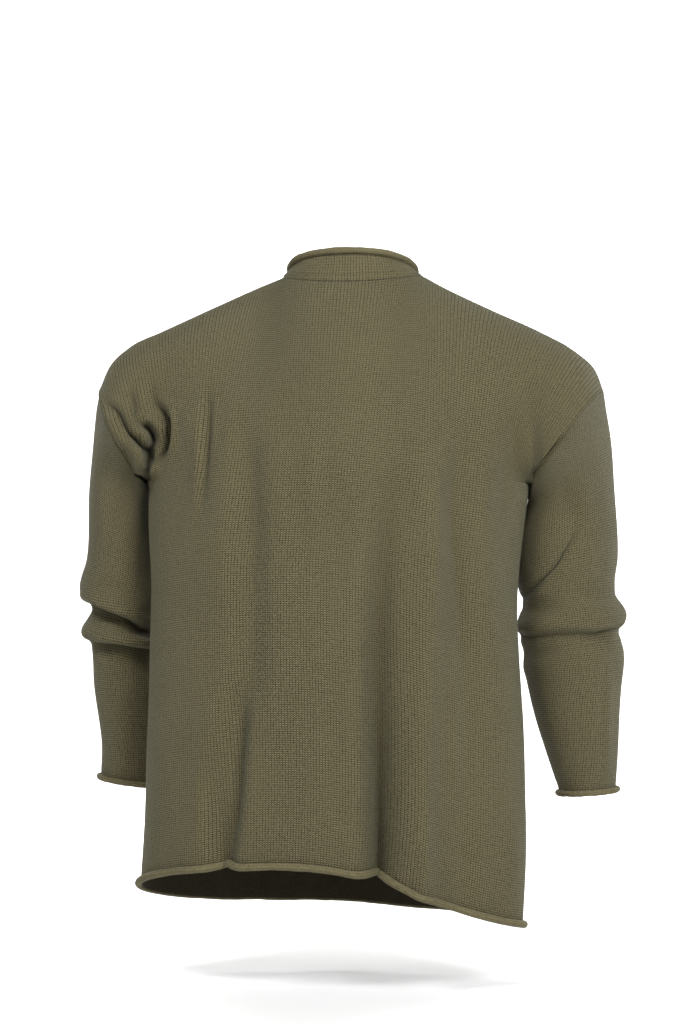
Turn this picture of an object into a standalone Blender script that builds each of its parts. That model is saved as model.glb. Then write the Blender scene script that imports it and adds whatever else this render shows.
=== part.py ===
"""A turtleneck pullover in plain knit with self-rolling edges, hollow, in the pose in which it is worn.

Metres, +Z up. The wearer faces -Y, so the wearer's left is +X. The origin is the middle of the neck
opening, level with the collar's sides, where the wearer's shoulders hold the garment up.

The garment is worked out as one skin: a front and a back from the hem to the shoulder ridge, a sleeve
tube on each armhole and a collar on the neckline. The skin is then parted at its seams, and each
piece gets a wall of even thickness and, at its free edge, the outward roll of a plain knit.
"""

from collections import namedtuple

import bpy
import numpy as np

# Cloth
WALL = 0.0020
SEAM_HALF_GAP = 0.00017
KNIT_COLOUR = (0.181, 0.159, 0.091, 1.0)
KNIT_ROUGHNESS = 0.9

# How finely each piece is divided
SHOULDER_COLUMNS = 12
NECK_COLUMNS = 14
SIDE_ROWS = 15
ARMHOLE_ROWS = 13
COLLAR_ROWS = 4

# The outward roll of a free edge
ROLL_RADIUS = 0.0020
ROLL_ANGLES = (55, 110, 165, 220, 275)
COLLAR_ROLL_RADIUS = 0.0016
CUFF_ROLL_RADIUS = 0.0016

# Neckline and collar
NECK_HALF_WIDTH = 0.079
NECK_POINT_HEIGHT = -0.005
BACK_NECK_DEPTH = 0.070
BACK_NECK_HEIGHT = -0.017
FRONT_NECK_DEPTH = 0.088
FRONT_NECK_HEIGHT = -0.076
NECKLINE_DROP_POWER = 1.5
COLLAR_HALF_WIDTH = 0.070
COLLAR_BACK_DEPTH = 0.061
COLLAR_FRONT_DEPTH = 0.083
COLLAR_BACK_HEIGHT = 0.0175
COLLAR_SIDE_HEIGHT = -0.0020
COLLAR_FRONT_HEIGHT = -0.038

# Shoulders and armholes: the first six are how strongly the cloth leaves and reaches its edges, in
# metres, and the others are shares of the half width or of the height to the underarm
ARMHOLE_SWELL = 0.31
NECK_ROLL_OVER = 0.13
SHOULDER_ROLL_OVER = 0.30
UPPER_BACK_RISE = 0.24
NECK_RISE = 0.14
NECK_ROLL_LOST = 0.2
NECK_CORNER_SHARE = 0.6
ARMHOLE_TURN_FROM = 0.72
SHOULDER_ROUND_BY = 0.80
UNDERARM_TURN_FROM = 0.72
UNDERARM_NEAR_FROM = 0.6
RISE_MEASURED_FROM = 0.96

BodyRing = namedtuple("BodyRing", "level centre_x centre_y half_width back_depth front_depth fullness")
BODY_RINGS = (
    BodyRing(0.00, 0.0250, 0.020, 0.2110, 0.118, 0.112, 1.02),
    BodyRing(0.12, 0.0215, 0.020, 0.2110, 0.124, 0.116, 1.00),
    BodyRing(0.38, 0.0196, 0.020, 0.2085, 0.130, 0.120, 0.96),
    BodyRing(0.62, 0.0198, 0.020, 0.2045, 0.134, 0.124, 0.94),
    BodyRing(0.80, 0.0180, 0.018, 0.2040, 0.136, 0.128, 0.92),
    BodyRing(1.00, 0.0100, 0.012, 0.2030, 0.138, 0.130, 0.92),
)

# Height of the hem all round: the angle runs from the middle of the back towards the wearer's left
HemPoint = namedtuple("HemPoint", "angle height")
HEM = (
    HemPoint(-90, -0.7225),
    HemPoint(-65, -0.7130),
    HemPoint(-40, -0.6920),
    HemPoint(-22, -0.6670),
    HemPoint(-5, -0.6550),
    HemPoint(36, -0.6570),
    HemPoint(62, -0.6650),
    HemPoint(90, -0.6830),
    HemPoint(128, -0.7030),
    HemPoint(180, -0.7100),
    HemPoint(215, -0.7160),
    HemPoint(270, -0.7225),
)

# The same once more round, so that the curve runs on smoothly past both ends
HEM_ROUND = tuple(HemPoint(p.angle - 360, p.height) for p in HEM[-4:-1]) + HEM + tuple(
    HemPoint(p.angle + 360, p.height) for p in HEM[1:4]
)

# The shoulder ridge from the neck point to the dropped end of the shoulder
RidgePoint = namedtuple("RidgePoint", "along out height")
LEFT_RIDGE = (
    RidgePoint(0.00, 0.079, -0.005),
    RidgePoint(0.12, 0.106, -0.0155),
    RidgePoint(0.30, 0.150, -0.035),
    RidgePoint(0.60, 0.216, -0.065),
    RidgePoint(0.78, 0.251, -0.081),
    RidgePoint(0.90, 0.273, -0.101),
    RidgePoint(1.00, 0.285, -0.128),
)
RIGHT_RIDGE = (
    RidgePoint(0.00, 0.079, -0.005),
    RidgePoint(0.12, 0.104, -0.0190),
    RidgePoint(0.30, 0.150, -0.0415),
    RidgePoint(0.60, 0.215, -0.072),
    RidgePoint(0.78, 0.248, -0.091),
    RidgePoint(0.90, 0.270, -0.111),
    RidgePoint(1.00, 0.280, -0.136),
)

# Where the sleeve rows stand from the armhole to the cuff: closest at the elbow's folds
SLEEVE_LEVELS = np.concatenate([
    np.linspace(0.00, 0.36, 8),
    np.linspace(0.40, 0.62, 10),
    np.linspace(0.68, 1.00, 5),
])

# Folds of the front and back: the line of each runs through three places, and depth is along the
# cloth's outward normal at those places, so a hollow is negative
Fold = namedtuple("Fold", "panel places heights depths half_width")
FOLDS = (
    Fold("back", (0.132, 0.140, 0.141), (-0.120, -0.190, -0.285), (-0.001, -0.005, -0.001), 0.012),
    Fold("back", (0.080, 0.084, 0.117), (-0.200, -0.450, -0.670), (-0.002, -0.011, -0.010), 0.026),
    Fold("back", (-0.074, -0.052, -0.038), (-0.150, -0.450, -0.670), (0.000, -0.011, -0.024), 0.022),
    Fold("back", (-0.092, -0.092, -0.094), (-0.180, -0.450, -0.700), (0.000, 0.007, 0.013), 0.020),
    Fold("back", (-0.142, -0.136, -0.127), (-0.150, -0.300, -0.700), (-0.002, -0.007, -0.005), 0.018),
    Fold("back", (0.265, 0.243, 0.219), (-0.142, -0.175, -0.215), (-0.002, -0.010, -0.007), 0.011),
    Fold("back", (0.214, 0.196, 0.206), (-0.120, -0.170, -0.225), (-0.001, -0.010, -0.004), 0.012),
    Fold("front", (0.060, 0.072, 0.090), (-0.180, -0.430, -0.720), (0.000, -0.009, -0.014), 0.026),
    Fold("front", (-0.070, -0.062, -0.050), (-0.200, -0.450, -0.720), (0.000, -0.008, -0.016), 0.024),
    Fold("front", (-0.002, 0.002, 0.020), (-0.260, -0.460, -0.720), (0.000, 0.004, 0.007), 0.026),
    Fold("front", (0.205, 0.192, 0.160), (-0.130, -0.190, -0.300), (-0.002, -0.009, -0.001), 0.013),
    Fold("front", (-0.200, -0.180, -0.150), (-0.130, -0.190, -0.300), (-0.002, -0.009, -0.001), 0.013),
    Fold("front", (0.140, 0.150, 0.152), (-0.260, -0.450, -0.700), (0.000, -0.006, -0.009), 0.020),
    Fold("front", (-0.140, -0.138, -0.130), (-0.260, -0.450, -0.720), (0.000, -0.006, -0.009), 0.020),
)
SIDE_SEAM_CALM = 0.06
ARMHOLE_END_CALM = 0.12

# Sleeve sections after the armhole: each is set by its outer and inner point seen from behind
SleeveRing = namedtuple("SleeveRing", "along out high inner low centre_y half_depth")
LEFT_SLEEVE = (
    SleeveRing(0.10, 0.2970, -0.178, 0.2310, -0.260, -0.022, 0.073),
    SleeveRing(0.22, 0.3065, -0.245, 0.2290, -0.293, -0.034, 0.067),
    SleeveRing(0.36, 0.3125, -0.318, 0.2240, -0.345, -0.042, 0.062),
    SleeveRing(0.44, 0.3195, -0.357, 0.2205, -0.378, -0.044, 0.062),
    SleeveRing(0.49, 0.3080, -0.380, 0.2260, -0.402, -0.046, 0.052),
    SleeveRing(0.54, 0.3185, -0.402, 0.2200, -0.418, -0.048, 0.058),
    SleeveRing(0.59, 0.3100, -0.417, 0.2270, -0.431, -0.050, 0.049),
    SleeveRing(0.70, 0.3065, -0.466, 0.222, -0.470, -0.056, 0.048),
    SleeveRing(0.85, 0.3000, -0.528, 0.225, -0.528, -0.066, 0.042),
    SleeveRing(1.00, 0.3020, -0.571, 0.229, -0.581, -0.074, 0.037),
)
RIGHT_SLEEVE = (
    SleeveRing(0.10, 0.2870, -0.182, 0.1990, -0.262, -0.026, 0.071),
    SleeveRing(0.22, 0.2905, -0.240, 0.1890, -0.292, -0.042, 0.066),
    SleeveRing(0.36, 0.2940, -0.318, 0.1845, -0.344, -0.045, 0.062),
    SleeveRing(0.44, 0.2925, -0.360, 0.187, -0.371, -0.047, 0.058),
    SleeveRing(0.49, 0.3045, -0.383, 0.182, -0.397, -0.048, 0.061),
    SleeveRing(0.54, 0.2965, -0.404, 0.186, -0.418, -0.050, 0.053),
    SleeveRing(0.59, 0.3000, -0.424, 0.186, -0.434, -0.052, 0.054),
    SleeveRing(0.70, 0.2965, -0.470, 0.194, -0.476, -0.056, 0.050),
    SleeveRing(0.85, 0.2930, -0.536, 0.212, -0.536, -0.066, 0.043),
    SleeveRing(1.00, 0.2900, -0.581, 0.227, -0.585, -0.074, 0.037),
)

# The two sides of the body: the underarm point, the shoulder ridge and the sleeve
Side = namedtuple("Side", "name sign underarm_out underarm_height ridge sleeve")
LEFT = Side("left", 1, 0.2270, -0.232, LEFT_RIDGE, LEFT_SLEEVE)
RIGHT = Side("right", -1, 0.1975, -0.238, RIGHT_RIDGE, RIGHT_SLEEVE)
UNDERARM_CENTRE_HEIGHT = -0.235


def hermite(t, start, end, start_slope, end_slope):
    """A cubic from start to end with the given slopes, for t from 0 to 1."""
    rise = t * t * (3 - 2 * t)
    leave = t * (1 - t) ** 2
    arrive = t * t * (t - 1)
    return (1 - rise) * start + rise * end + leave * start_slope + arrive * end_slope


def smooth(at, knots, values):
    """Values at the given places on a smooth curve through the knots."""
    at = np.atleast_1d(np.asarray(at, float))
    knots = np.asarray(knots, float)
    values = np.asarray(values, float)
    slopes = np.gradient(values, knots, axis=0)
    i = np.clip(np.searchsorted(knots, at) - 1, 0, len(knots) - 2)
    span = knots[i + 1] - knots[i]
    t = np.clip((at - knots[i]) / span, 0, 1)
    if values.ndim == 2:
        span, t = span[:, None], t[:, None]
    return hermite(t, values[i], values[i + 1], slopes[i] * span, slopes[i + 1] * span)


def column(rows, name, at, key="level"):
    """One named column of a table, read smoothly at the given places of its key column."""
    return smooth(at, [getattr(r, key) for r in rows], [getattr(r, name) for r in rows])


def ease(t):
    t = np.clip(t, 0, 1)
    return t * t * (3 - 2 * t)


def evenly(points, shares):
    """The places at these shares of a curve's length."""
    steps = np.linalg.norm(np.diff(points, axis=0), axis=1)
    along = np.concatenate([[0], np.cumsum(steps)])
    along /= along[-1]
    return np.stack([np.interp(shares, along, points[:, k]) for k in range(3)], axis=1)


def across_shares():
    """Where the columns stand, from the wearer's right at -1 to the left at 1."""
    columns = 2 * SHOULDER_COLUMNS + NECK_COLUMNS
    return np.linspace(-1, 1, columns + 1)


def body_row(panel, level, shares):
    """One level ring's front or back half, from the wearer's right to the left, evenly spaced."""
    facing = 1 if panel == "back" else -1
    quarter = np.linspace(-90, 90, 121)
    angle = quarter if panel == "back" else 180 - quarter
    sine = np.sin(np.radians(quarter))
    cosine = np.cos(np.radians(quarter))
    read = {name: column(BODY_RINGS, name, level)[0] for name in BodyRing._fields[1:]}
    depth = read["back_depth"] if panel == "back" else read["front_depth"]
    x = read["centre_x"] + read["half_width"] * np.sign(sine) * np.abs(sine) ** read["fullness"]
    y = read["centre_y"] + facing * depth * np.abs(cosine) ** read["fullness"]
    low = smooth(angle, [p.angle for p in HEM_ROUND], [p.height for p in HEM_ROUND])
    lean = (1 + sine) / 2
    side = LEFT.underarm_height * lean + RIGHT.underarm_height * (1 - lean)
    high = side + (UNDERARM_CENTRE_HEIGHT - side) * cosine
    z = low + (high - low) * level
    return evenly(np.stack([x, y, z], axis=1), (shares + 1) / 2)


def tilted(facing, side, back, front):
    """A height round a ring: its side height, and its back and front heights where facing is 1 and -1."""
    return side + (back - front) / 2 * facing + ((back + front) / 2 - side) * facing ** 2


def neckline(panel, share):
    """The neckline's front or back half, share running from -1 at the right to 1 at the left."""
    turn = np.radians(90 * share)
    depth = BACK_NECK_DEPTH if panel == "back" else -FRONT_NECK_DEPTH
    x = NECK_HALF_WIDTH * np.sin(turn)
    y = depth * np.cos(turn)
    middle = BACK_NECK_HEIGHT if panel == "back" else FRONT_NECK_HEIGHT
    z = NECK_POINT_HEIGHT + (middle - NECK_POINT_HEIGHT) * np.cos(turn) ** NECKLINE_DROP_POWER
    return np.stack([x, y, z], axis=1)


def top_row(panel, shares):
    """The shoulder ridges with the neckline between them."""
    neck_share = NECK_COLUMNS / (2 * SHOULDER_COLUMNS + NECK_COLUMNS)
    points = neckline(panel, np.clip(shares / neck_share, -1, 1))
    along = np.clip((np.abs(shares) - neck_share) / (1 - neck_share), 0, 1)
    for side in (LEFT, RIGHT):
        out = column(side.ridge, "out", along, key="along") * side.sign
        height = column(side.ridge, "height", along, key="along")
        ridge = np.stack([out, np.zeros_like(out), height], axis=1)
        on_ridge = shares * side.sign >= neck_share - 1e-9
        points = np.where(on_ridge[:, None], ridge, points)
    return points


def body_skin(panel, shares, levels):
    """The front or back from the hem (level 0) by the underarm (1) to the shoulder ridge (2)."""
    facing = 1 if panel == "back" else -1
    neck_share = NECK_COLUMNS / (2 * SHOULDER_COLUMNS + NECK_COLUMNS)
    plain = body_row(panel, 1.0, shares)
    under = plain.copy()
    for side in (LEFT, RIGHT):
        near = ease((shares * side.sign - UNDERARM_NEAR_FROM) / (1 - UNDERARM_NEAR_FROM))
        under[:, 0] += near * (side.sign * side.underarm_out - under[-1 if side.sign > 0 else 0, 0])
    top = top_row(panel, shares)
    turn = ease((np.abs(shares) - ARMHOLE_TURN_FROM) / (1 - ARMHOLE_TURN_FROM))[:, None]
    rise = unit(plain - body_row(panel, RISE_MEASURED_FROM, shares)) * UPPER_BACK_RISE
    swell = np.array([[0, facing * ARMHOLE_SWELL, 0]])
    leave = rise * (1 - turn) + swell * turn
    spread = ease((np.abs(shares) - neck_share) / (SHOULDER_ROUND_BY - neck_share))[:, None]
    reach = NECK_ROLL_OVER + (SHOULDER_ROLL_OVER - NECK_ROLL_OVER) * spread
    over = np.array([[0, -facing, 0]]) * (reach + (ARMHOLE_SWELL - reach) * turn)
    upright = ease((1 - np.abs(shares) / neck_share) / NECK_CORNER_SHARE)[:, None]
    arrive = over * (1 - NECK_ROLL_LOST * upright) + np.array([[0, 0, NECK_RISE]]) * upright
    rows = []
    for level in levels:
        if level <= 1:
            row = body_row(panel, level, shares)
            blend = ease((level - UNDERARM_TURN_FROM) / (1 - UNDERARM_TURN_FROM))
            row = row + blend * (under - plain)
        else:
            row = hermite(level - 1, under, top, leave, arrive)
        rows.append(row)
    return np.array(rows)


def grid_normals(points, flip):
    """Unnormalised normals of a grid's corners, summed from the faces round them."""
    down = np.diff(points, axis=0)
    side = np.diff(points, axis=1)
    face = np.cross(side[:-1] + side[1:], down[:, :-1] + down[:, 1:]) * (-1 if flip else 1)
    total = np.zeros_like(points)
    total[:-1, :-1] += face
    total[1:, :-1] += face
    total[:-1, 1:] += face
    total[1:, 1:] += face
    return total


def unit(vectors):
    return vectors / np.maximum(np.linalg.norm(vectors, axis=-1, keepdims=True), 1e-12)


def joined_normals(skins, flips):
    """Normals of every grid, shared where grids meet."""
    sums = {name: grid_normals(points, flips[name]) for name, points in skins.items()}
    places = np.concatenate([p.reshape(-1, 3) for p in skins.values()])
    normals = np.concatenate([sums[name].reshape(-1, 3) for name in skins])
    _, group = np.unique(np.round(places, 6), axis=0, return_inverse=True)
    group = group.reshape(-1)
    shared = np.stack([np.bincount(group, weights=normals[:, k]) for k in range(3)], axis=1)
    shared = unit(shared)[group]
    out, start = {}, 0
    for name, points in skins.items():
        count = points.shape[0] * points.shape[1]
        out[name] = shared[start:start + count].reshape(points.shape)
        start += count
    return out


def fold_depth(panel, points, shares, levels):
    """How far the panel's folds move each point along its normal: nothing where front and back meet."""
    moved = np.zeros(points.shape[:2])
    level, share = np.meshgrid(levels, shares, indexing="ij")
    calm = np.where(
        level <= 1,
        ease((1 - np.abs(share)) / SIDE_SEAM_CALM),
        np.maximum(ease((1 - np.abs(share)) / SIDE_SEAM_CALM), ease((level - 1) / ARMHOLE_END_CALM)),
    )
    calm = calm * ease((2 - level) / ARMHOLE_END_CALM)
    x, z = points[..., 0], points[..., 2]
    for fold in FOLDS:
        if fold.panel != panel:
            continue
        heights = fold.heights[::-1]
        flat = z.reshape(-1)
        line = smooth(np.clip(flat, heights[0], heights[-1]), heights, fold.places[::-1]).reshape(z.shape)
        depth = smooth(np.clip(flat, heights[0], heights[-1]), heights, fold.depths[::-1]).reshape(z.shape)
        slant = abs(fold.places[0] - fold.places[-1]) / (heights[-1] - heights[0])
        away = (x - line) / np.hypot(1, slant)
        beyond = np.maximum(heights[0] - z, 0) / fold.half_width
        beyond += np.maximum(z - heights[-1], 0) / fold.half_width
        moved += depth * np.exp(-((away / fold.half_width) ** 2) - beyond ** 2)
    return moved * calm


def armhole_loop(back, front, side):
    """The armhole from the end of the shoulder down the back, by the underarm and up the front."""
    edge = -1 if side.sign > 0 else 0
    down_back = back[::-1][: ARMHOLE_ROWS + 1, edge]
    up_front = front[-ARMHOLE_ROWS - 1:, edge]
    return np.concatenate([down_back, up_front[1:]])


def sleeve_skin(side, loop, levels):
    """A sleeve tube from its armhole loop through its table of sections to the cuff."""
    turn = np.linspace(0, 2 * np.pi, len(loop))
    knots, rings = [0.0], [loop]
    for ring in side.sleeve:
        outer = np.array([side.sign * ring.out, ring.centre_y, ring.high])
        inner = np.array([side.sign * ring.inner, ring.centre_y, ring.low])
        middle, reach = (outer + inner) / 2, (outer - inner) / 2
        swing = np.array([0, ring.half_depth, 0])
        rings.append(middle + np.cos(turn)[:, None] * reach + np.sin(turn)[:, None] * swing)
        knots.append(ring.along)
    rings = np.array(rings)
    return smooth(levels, knots, rings.reshape(len(rings), -1)).reshape(len(levels), len(loop), 3)


def neck_loop(back, front):
    """The neckline from the left neck point round the back, and on round the front."""
    first, last = SHOULDER_COLUMNS, SHOULDER_COLUMNS + NECK_COLUMNS
    round_back = back[-1, first:last + 1][::-1]
    round_front = front[-1, first:last + 1]
    return np.concatenate([round_back, round_front[1:]])


def collar_skin(loop, rows):
    """The collar from the neckline up to where its free edge starts to roll."""
    turn = np.linspace(0, 2 * np.pi, len(loop))
    cosine, sine = np.cos(turn), np.sin(turn)
    depth = np.where(sine >= 0, COLLAR_BACK_DEPTH, COLLAR_FRONT_DEPTH)
    height = tilted(sine, COLLAR_SIDE_HEIGHT, COLLAR_BACK_HEIGHT, COLLAR_FRONT_HEIGHT)
    top = np.stack([COLLAR_HALF_WIDTH * cosine, depth * sine, height], axis=1)
    share = np.linspace(0, 1, rows + 1)[:, None, None]
    return loop + (top - loop) * share


def rolled(outer, normals, radius, wall):
    """Adds the outward roll of the last row: returns the wall's outer and inner grids."""
    inner = outer - normals * wall
    onward = unit(outer[-1] - outer[-2])
    normal = unit(normals[-1] - onward * (normals[-1] * onward).sum(axis=1, keepdims=True))
    inner[-1] = outer[-1] - normal * wall
    centre = outer[-1] + normal * radius
    outer_rows, inner_rows = list(outer), list(inner)
    for angle in np.radians(ROLL_ANGLES):
        spoke = onward * np.sin(angle) - normal * np.cos(angle)
        outer_rows.append(centre + spoke * radius)
        inner_rows.append(centre + spoke * (radius + wall))
    return np.array(outer_rows), np.array(inner_rows)


def draw_back(outer, inner, tube, flip):
    """Moves a wall's seam edges into the piece, square to the edge, which leaves the seam's gap."""
    rows, columns = outer.shape[:2]
    if tube:
        path = [(0, col) for col in range(columns - 1)]
    else:
        path = [(row, 0) for row in range(rows - 1, 0, -1)]
        path += [(0, col) for col in range(columns)]
        path += [(row, columns - 1) for row in range(1, rows)]
    row, col = np.array(path).T
    points, under = outer[row, col], inner[row, col]
    normal = unit(points - under)
    onward = unit(np.roll(points, -1, axis=0) - points)
    if not tube:
        onward[-1] = onward[-2]
    before = np.roll(onward, 1, axis=0)
    if not tube:
        before[0] = onward[0]
    sign = -1 if flip else 1
    inward_before = unit(np.cross(normal, before)) * sign
    inward_after = unit(np.cross(normal, onward)) * sign
    both = inward_before + inward_after
    move = both * (2 * SEAM_HALF_GAP / (both ** 2).sum(axis=1, keepdims=True))
    outer[row, col] += move
    inner[row, col] += move
    if tube:
        outer[0, -1], inner[0, -1] = outer[0, 0], inner[0, 0]


def cloth_wall(name, outer, inner, tube, flip):
    """A closed mesh from a wall's outer and inner grids."""
    if tube:
        outer, inner = outer[:, :-1], inner[:, :-1]
    rows, columns = outer.shape[:2]
    count = rows * columns
    points = np.concatenate([outer.reshape(-1, 3), inner.reshape(-1, 3)])
    last_row, last_col = rows - 1, columns - 1

    def corner(row, col, side):
        return side * count + row * columns + col % columns

    def end_faces(first, second):
        """The end of the wall between two places of its rim, split from the lower of the two."""
        a, b = corner(*first, 0), corner(*second, 0)
        c, d = corner(*second, 1), corner(*first, 1)
        if points[a, 2] < points[b, 2]:
            return [[a, b, c], [a, c, d]]
        return [[b, c, d], [b, d, a]]

    faces = []
    spans = columns if tube else columns - 1
    for row in range(rows - 1):
        for col in range(spans):
            square = [(row, col), (row, col + 1), (row + 1, col + 1), (row + 1, col)]
            faces.append([corner(r, c, 0) for r, c in square])
            faces.append([corner(r, c, 1) for r, c in reversed(square)])
    for col in range(spans):
        faces += end_faces((0, col + 1), (0, col))
        faces += end_faces((last_row, col), (last_row, col + 1))
    if not tube:
        for row in range(rows - 1):
            faces += end_faces((row, 0), (row + 1, 0))
            faces += end_faces((row + 1, last_col), (row, last_col))
    if flip:
        faces = [face[::-1] for face in faces]
    mesh = bpy.data.meshes.new(name)
    mesh.from_pydata(points.tolist(), [], faces)
    mesh.validate()
    mesh.shade_smooth()
    mesh.set_sharp_from_angle(angle=np.radians(60))
    return mesh


def knit_material(name):
    material = bpy.data.materials.new(name)
    material.use_nodes = True
    shader = material.node_tree.nodes["Principled BSDF"]
    shader.inputs["Base Color"].default_value = KNIT_COLOUR
    shader.inputs["Roughness"].default_value = KNIT_ROUGHNESS
    shader.inputs["Metallic"].default_value = 0.0
    return material


def add_piece(collection, name, mesh):
    piece = bpy.data.objects.new(name, mesh)
    piece.data.materials.append(knit_material(name + "_knit"))
    collection.objects.link(piece)
    return piece


def main():
    for old in list(bpy.data.objects):
        bpy.data.objects.remove(old)
    collection = bpy.data.collections.new("turtleneck_pullover")
    bpy.context.scene.collection.children.link(collection)

    shares = across_shares()
    levels = np.concatenate([np.linspace(0, 1, SIDE_ROWS + 1), 1 + np.linspace(0, 1, ARMHOLE_ROWS + 1)[1:]])
    flips = {"back": True, "front": False, "sleeve_left": True, "sleeve_right": False, "collar": False}
    skins = {panel: body_skin(panel, shares, levels) for panel in ("back", "front")}
    plain = joined_normals(skins, flips)
    for panel in ("back", "front"):
        moved = fold_depth(panel, skins[panel], shares, levels)
        skins[panel] = skins[panel] + plain[panel] * moved[..., None]
    for side in (LEFT, RIGHT):
        loop = armhole_loop(skins["back"], skins["front"], side)
        skins["sleeve_" + side.name] = sleeve_skin(side, loop, SLEEVE_LEVELS)
    skins["collar"] = collar_skin(neck_loop(skins["back"], skins["front"]), COLLAR_ROWS)
    normals = joined_normals(skins, flips)

    for name, outer in skins.items():
        tube = name not in ("front", "back")
        down = outer if tube else outer[::-1]
        normal = normals[name] if tube else normals[name][::-1]
        radius = CUFF_ROLL_RADIUS if tube else ROLL_RADIUS
        if name == "collar":
            radius = COLLAR_ROLL_RADIUS
        wall_outer, wall_inner = rolled(down, normal, radius, WALL)
        turned = flips[name] == tube
        draw_back(wall_outer, wall_inner, tube, turned)
        node = name if tube else name + "_panel"
        add_piece(collection, node, cloth_wall(node, wall_outer, wall_inner, tube, turned))


main()
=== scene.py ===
import math

import bpy
import numpy as np
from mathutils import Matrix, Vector


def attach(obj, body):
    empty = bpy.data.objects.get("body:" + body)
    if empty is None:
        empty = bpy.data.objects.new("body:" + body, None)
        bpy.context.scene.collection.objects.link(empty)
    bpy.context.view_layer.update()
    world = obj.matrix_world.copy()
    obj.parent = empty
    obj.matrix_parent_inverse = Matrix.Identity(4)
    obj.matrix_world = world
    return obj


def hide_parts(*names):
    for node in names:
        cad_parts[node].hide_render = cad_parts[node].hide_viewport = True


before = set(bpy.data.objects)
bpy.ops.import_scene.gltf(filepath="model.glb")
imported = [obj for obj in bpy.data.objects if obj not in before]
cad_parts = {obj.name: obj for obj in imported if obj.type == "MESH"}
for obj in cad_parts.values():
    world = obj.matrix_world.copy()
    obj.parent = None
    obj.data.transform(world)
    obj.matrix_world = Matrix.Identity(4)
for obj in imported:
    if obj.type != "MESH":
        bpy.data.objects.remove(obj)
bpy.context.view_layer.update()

scene = bpy.context.scene
for spare in ("Cube", "Light", "Camera"):
    if spare in bpy.data.objects:
        bpy.data.objects.remove(bpy.data.objects[spare])
print("frame loaded")


# cubic through the knots, each slope taken from its neighbours
def through(at, knots, values):
    at = np.atleast_1d(np.asarray(at, float))
    knots, values = np.asarray(knots, float), np.asarray(values, float)
    slopes = np.gradient(values, knots, axis=0)
    i = np.clip(np.searchsorted(knots, at) - 1, 0, len(knots) - 2)
    span = knots[i + 1] - knots[i]
    t = np.clip((at - knots[i]) / span, 0, 1)
    if values.ndim == 2:
        span, t = span[:, None], t[:, None]
    return cubic(t, values[i], values[i + 1], slopes[i] * span, slopes[i + 1] * span)


# cubic from start to end that leaves and arrives with the given slopes
def cubic(t, start, end, leave, arrive):
    rise = t * t * (3 - 2 * t)
    return (1 - rise) * start + rise * end + t * (1 - t) ** 2 * leave + t * t * (t - 1) * arrive


def ease(t):
    t = np.clip(t, 0, 1)
    return t * t * (3 - 2 * t)


# bell of height 1 that falls to a third one width away
def bell(t):
    return np.exp(-t ** 2)


def unit(v):
    return v / np.maximum(np.linalg.norm(v, axis=-1, keepdims=True), 1e-12)


# length run along a grid's rows (axis 0) or columns (axis 1), from 0 at the first
def runAlong(points, axis):
    steps = np.linalg.norm(np.diff(points, axis=axis), axis=2)
    start = np.zeros_like(np.take(steps, [0], axis=axis))
    return np.concatenate([start, np.cumsum(steps, axis=axis)], axis=axis)


# one row's length run, from 0 at its first point
def runOf(row):
    return runAlong(row[None], 1)[0]


# the four corners of each square of a grid
def gridFaces(rows, columns):
    r, c = np.meshgrid(np.arange(rows - 1), np.arange(columns - 1), indexing="ij")
    first = (r * columns + c).reshape(-1)
    return np.stack([first, first + 1, first + columns + 1, first + columns], axis=1)


# normals of every grid, shared where the grids meet
def sharedNormals(skins, turned):
    sums = {}
    for name, p in skins.items():
        down, side = np.diff(p, axis=0), np.diff(p, axis=1)
        face = np.cross(side[:-1] + side[1:], down[:, :-1] + down[:, 1:]) * (-1 if turned[name] else 1)
        total = np.zeros_like(p)
        total[:-1, :-1] += face
        total[1:, :-1] += face
        total[:-1, 1:] += face
        total[1:, 1:] += face
        sums[name] = total
    places = np.round(np.concatenate([p.reshape(-1, 3) for p in skins.values()]), 6)
    found = np.concatenate([sums[name].reshape(-1, 3) for name in skins])
    group = np.unique(places, axis=0, return_inverse=True)[1].reshape(-1)
    shared = unit(np.stack([np.bincount(group, weights=found[:, k]) for k in range(3)], axis=1))[group]
    result, start = {}, 0
    for name, p in skins.items():
        count = p.shape[0] * p.shape[1]
        result[name] = shared[start:start + count].reshape(p.shape)
        start += count
    return result


# front and back: numbers of rows and columns, lengths in metres, levels, and shares of half the width;
# halfCloth is half a panel's width along the cloth
body = dict(
    shoulderColumns=74, neckColumns=60, lowRows=72, sideRows=106, armholeRows=88, ringSteps=241,
    fineFrom=0.74, crowding=1.35, armholeCrowding=1.15, neckShare=14 / 38, halfCloth=0.275,
    neckHalfWidth=0.079, neckPoint=-0.005, backNeckDepth=0.070, backNeck=-0.017,
    frontNeckDepth=0.088, frontNeck=-0.076, neckDrop=1.5,
    armholeSwell=0.31, neckRollOver=0.13, shoulderRollOver=0.30, upperRise=0.24, slopeFrom=0.96,
    neckRise=0.14, neckRollLost=0.2, neckCorner=0.6, armholeFrom=0.72, shoulderRoundBy=0.80,
    underarmFrom=0.72, underarmNear=0.6, underarmCentre=-0.235,
    ridgeAt=[0.00, 0.12, 0.30, 0.60, 0.78, 0.90, 1.00],
)
bodyRings = dict(
    level=[0.00, 0.12, 0.38, 0.62, 0.80, 1.00],
    centreX=[0.0250, 0.0215, 0.0196, 0.0198, 0.0180, 0.0100],
    centreY=[0.020, 0.020, 0.020, 0.020, 0.018, 0.012],
    halfWidth=[0.2110, 0.2110, 0.2085, 0.2045, 0.2040, 0.2030],
    backDepth=[0.118, 0.124, 0.130, 0.134, 0.136, 0.138],
    frontDepth=[0.112, 0.116, 0.120, 0.124, 0.128, 0.130],
    fullness=[1.02, 1.00, 0.96, 0.94, 0.92, 0.92],
)
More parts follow.
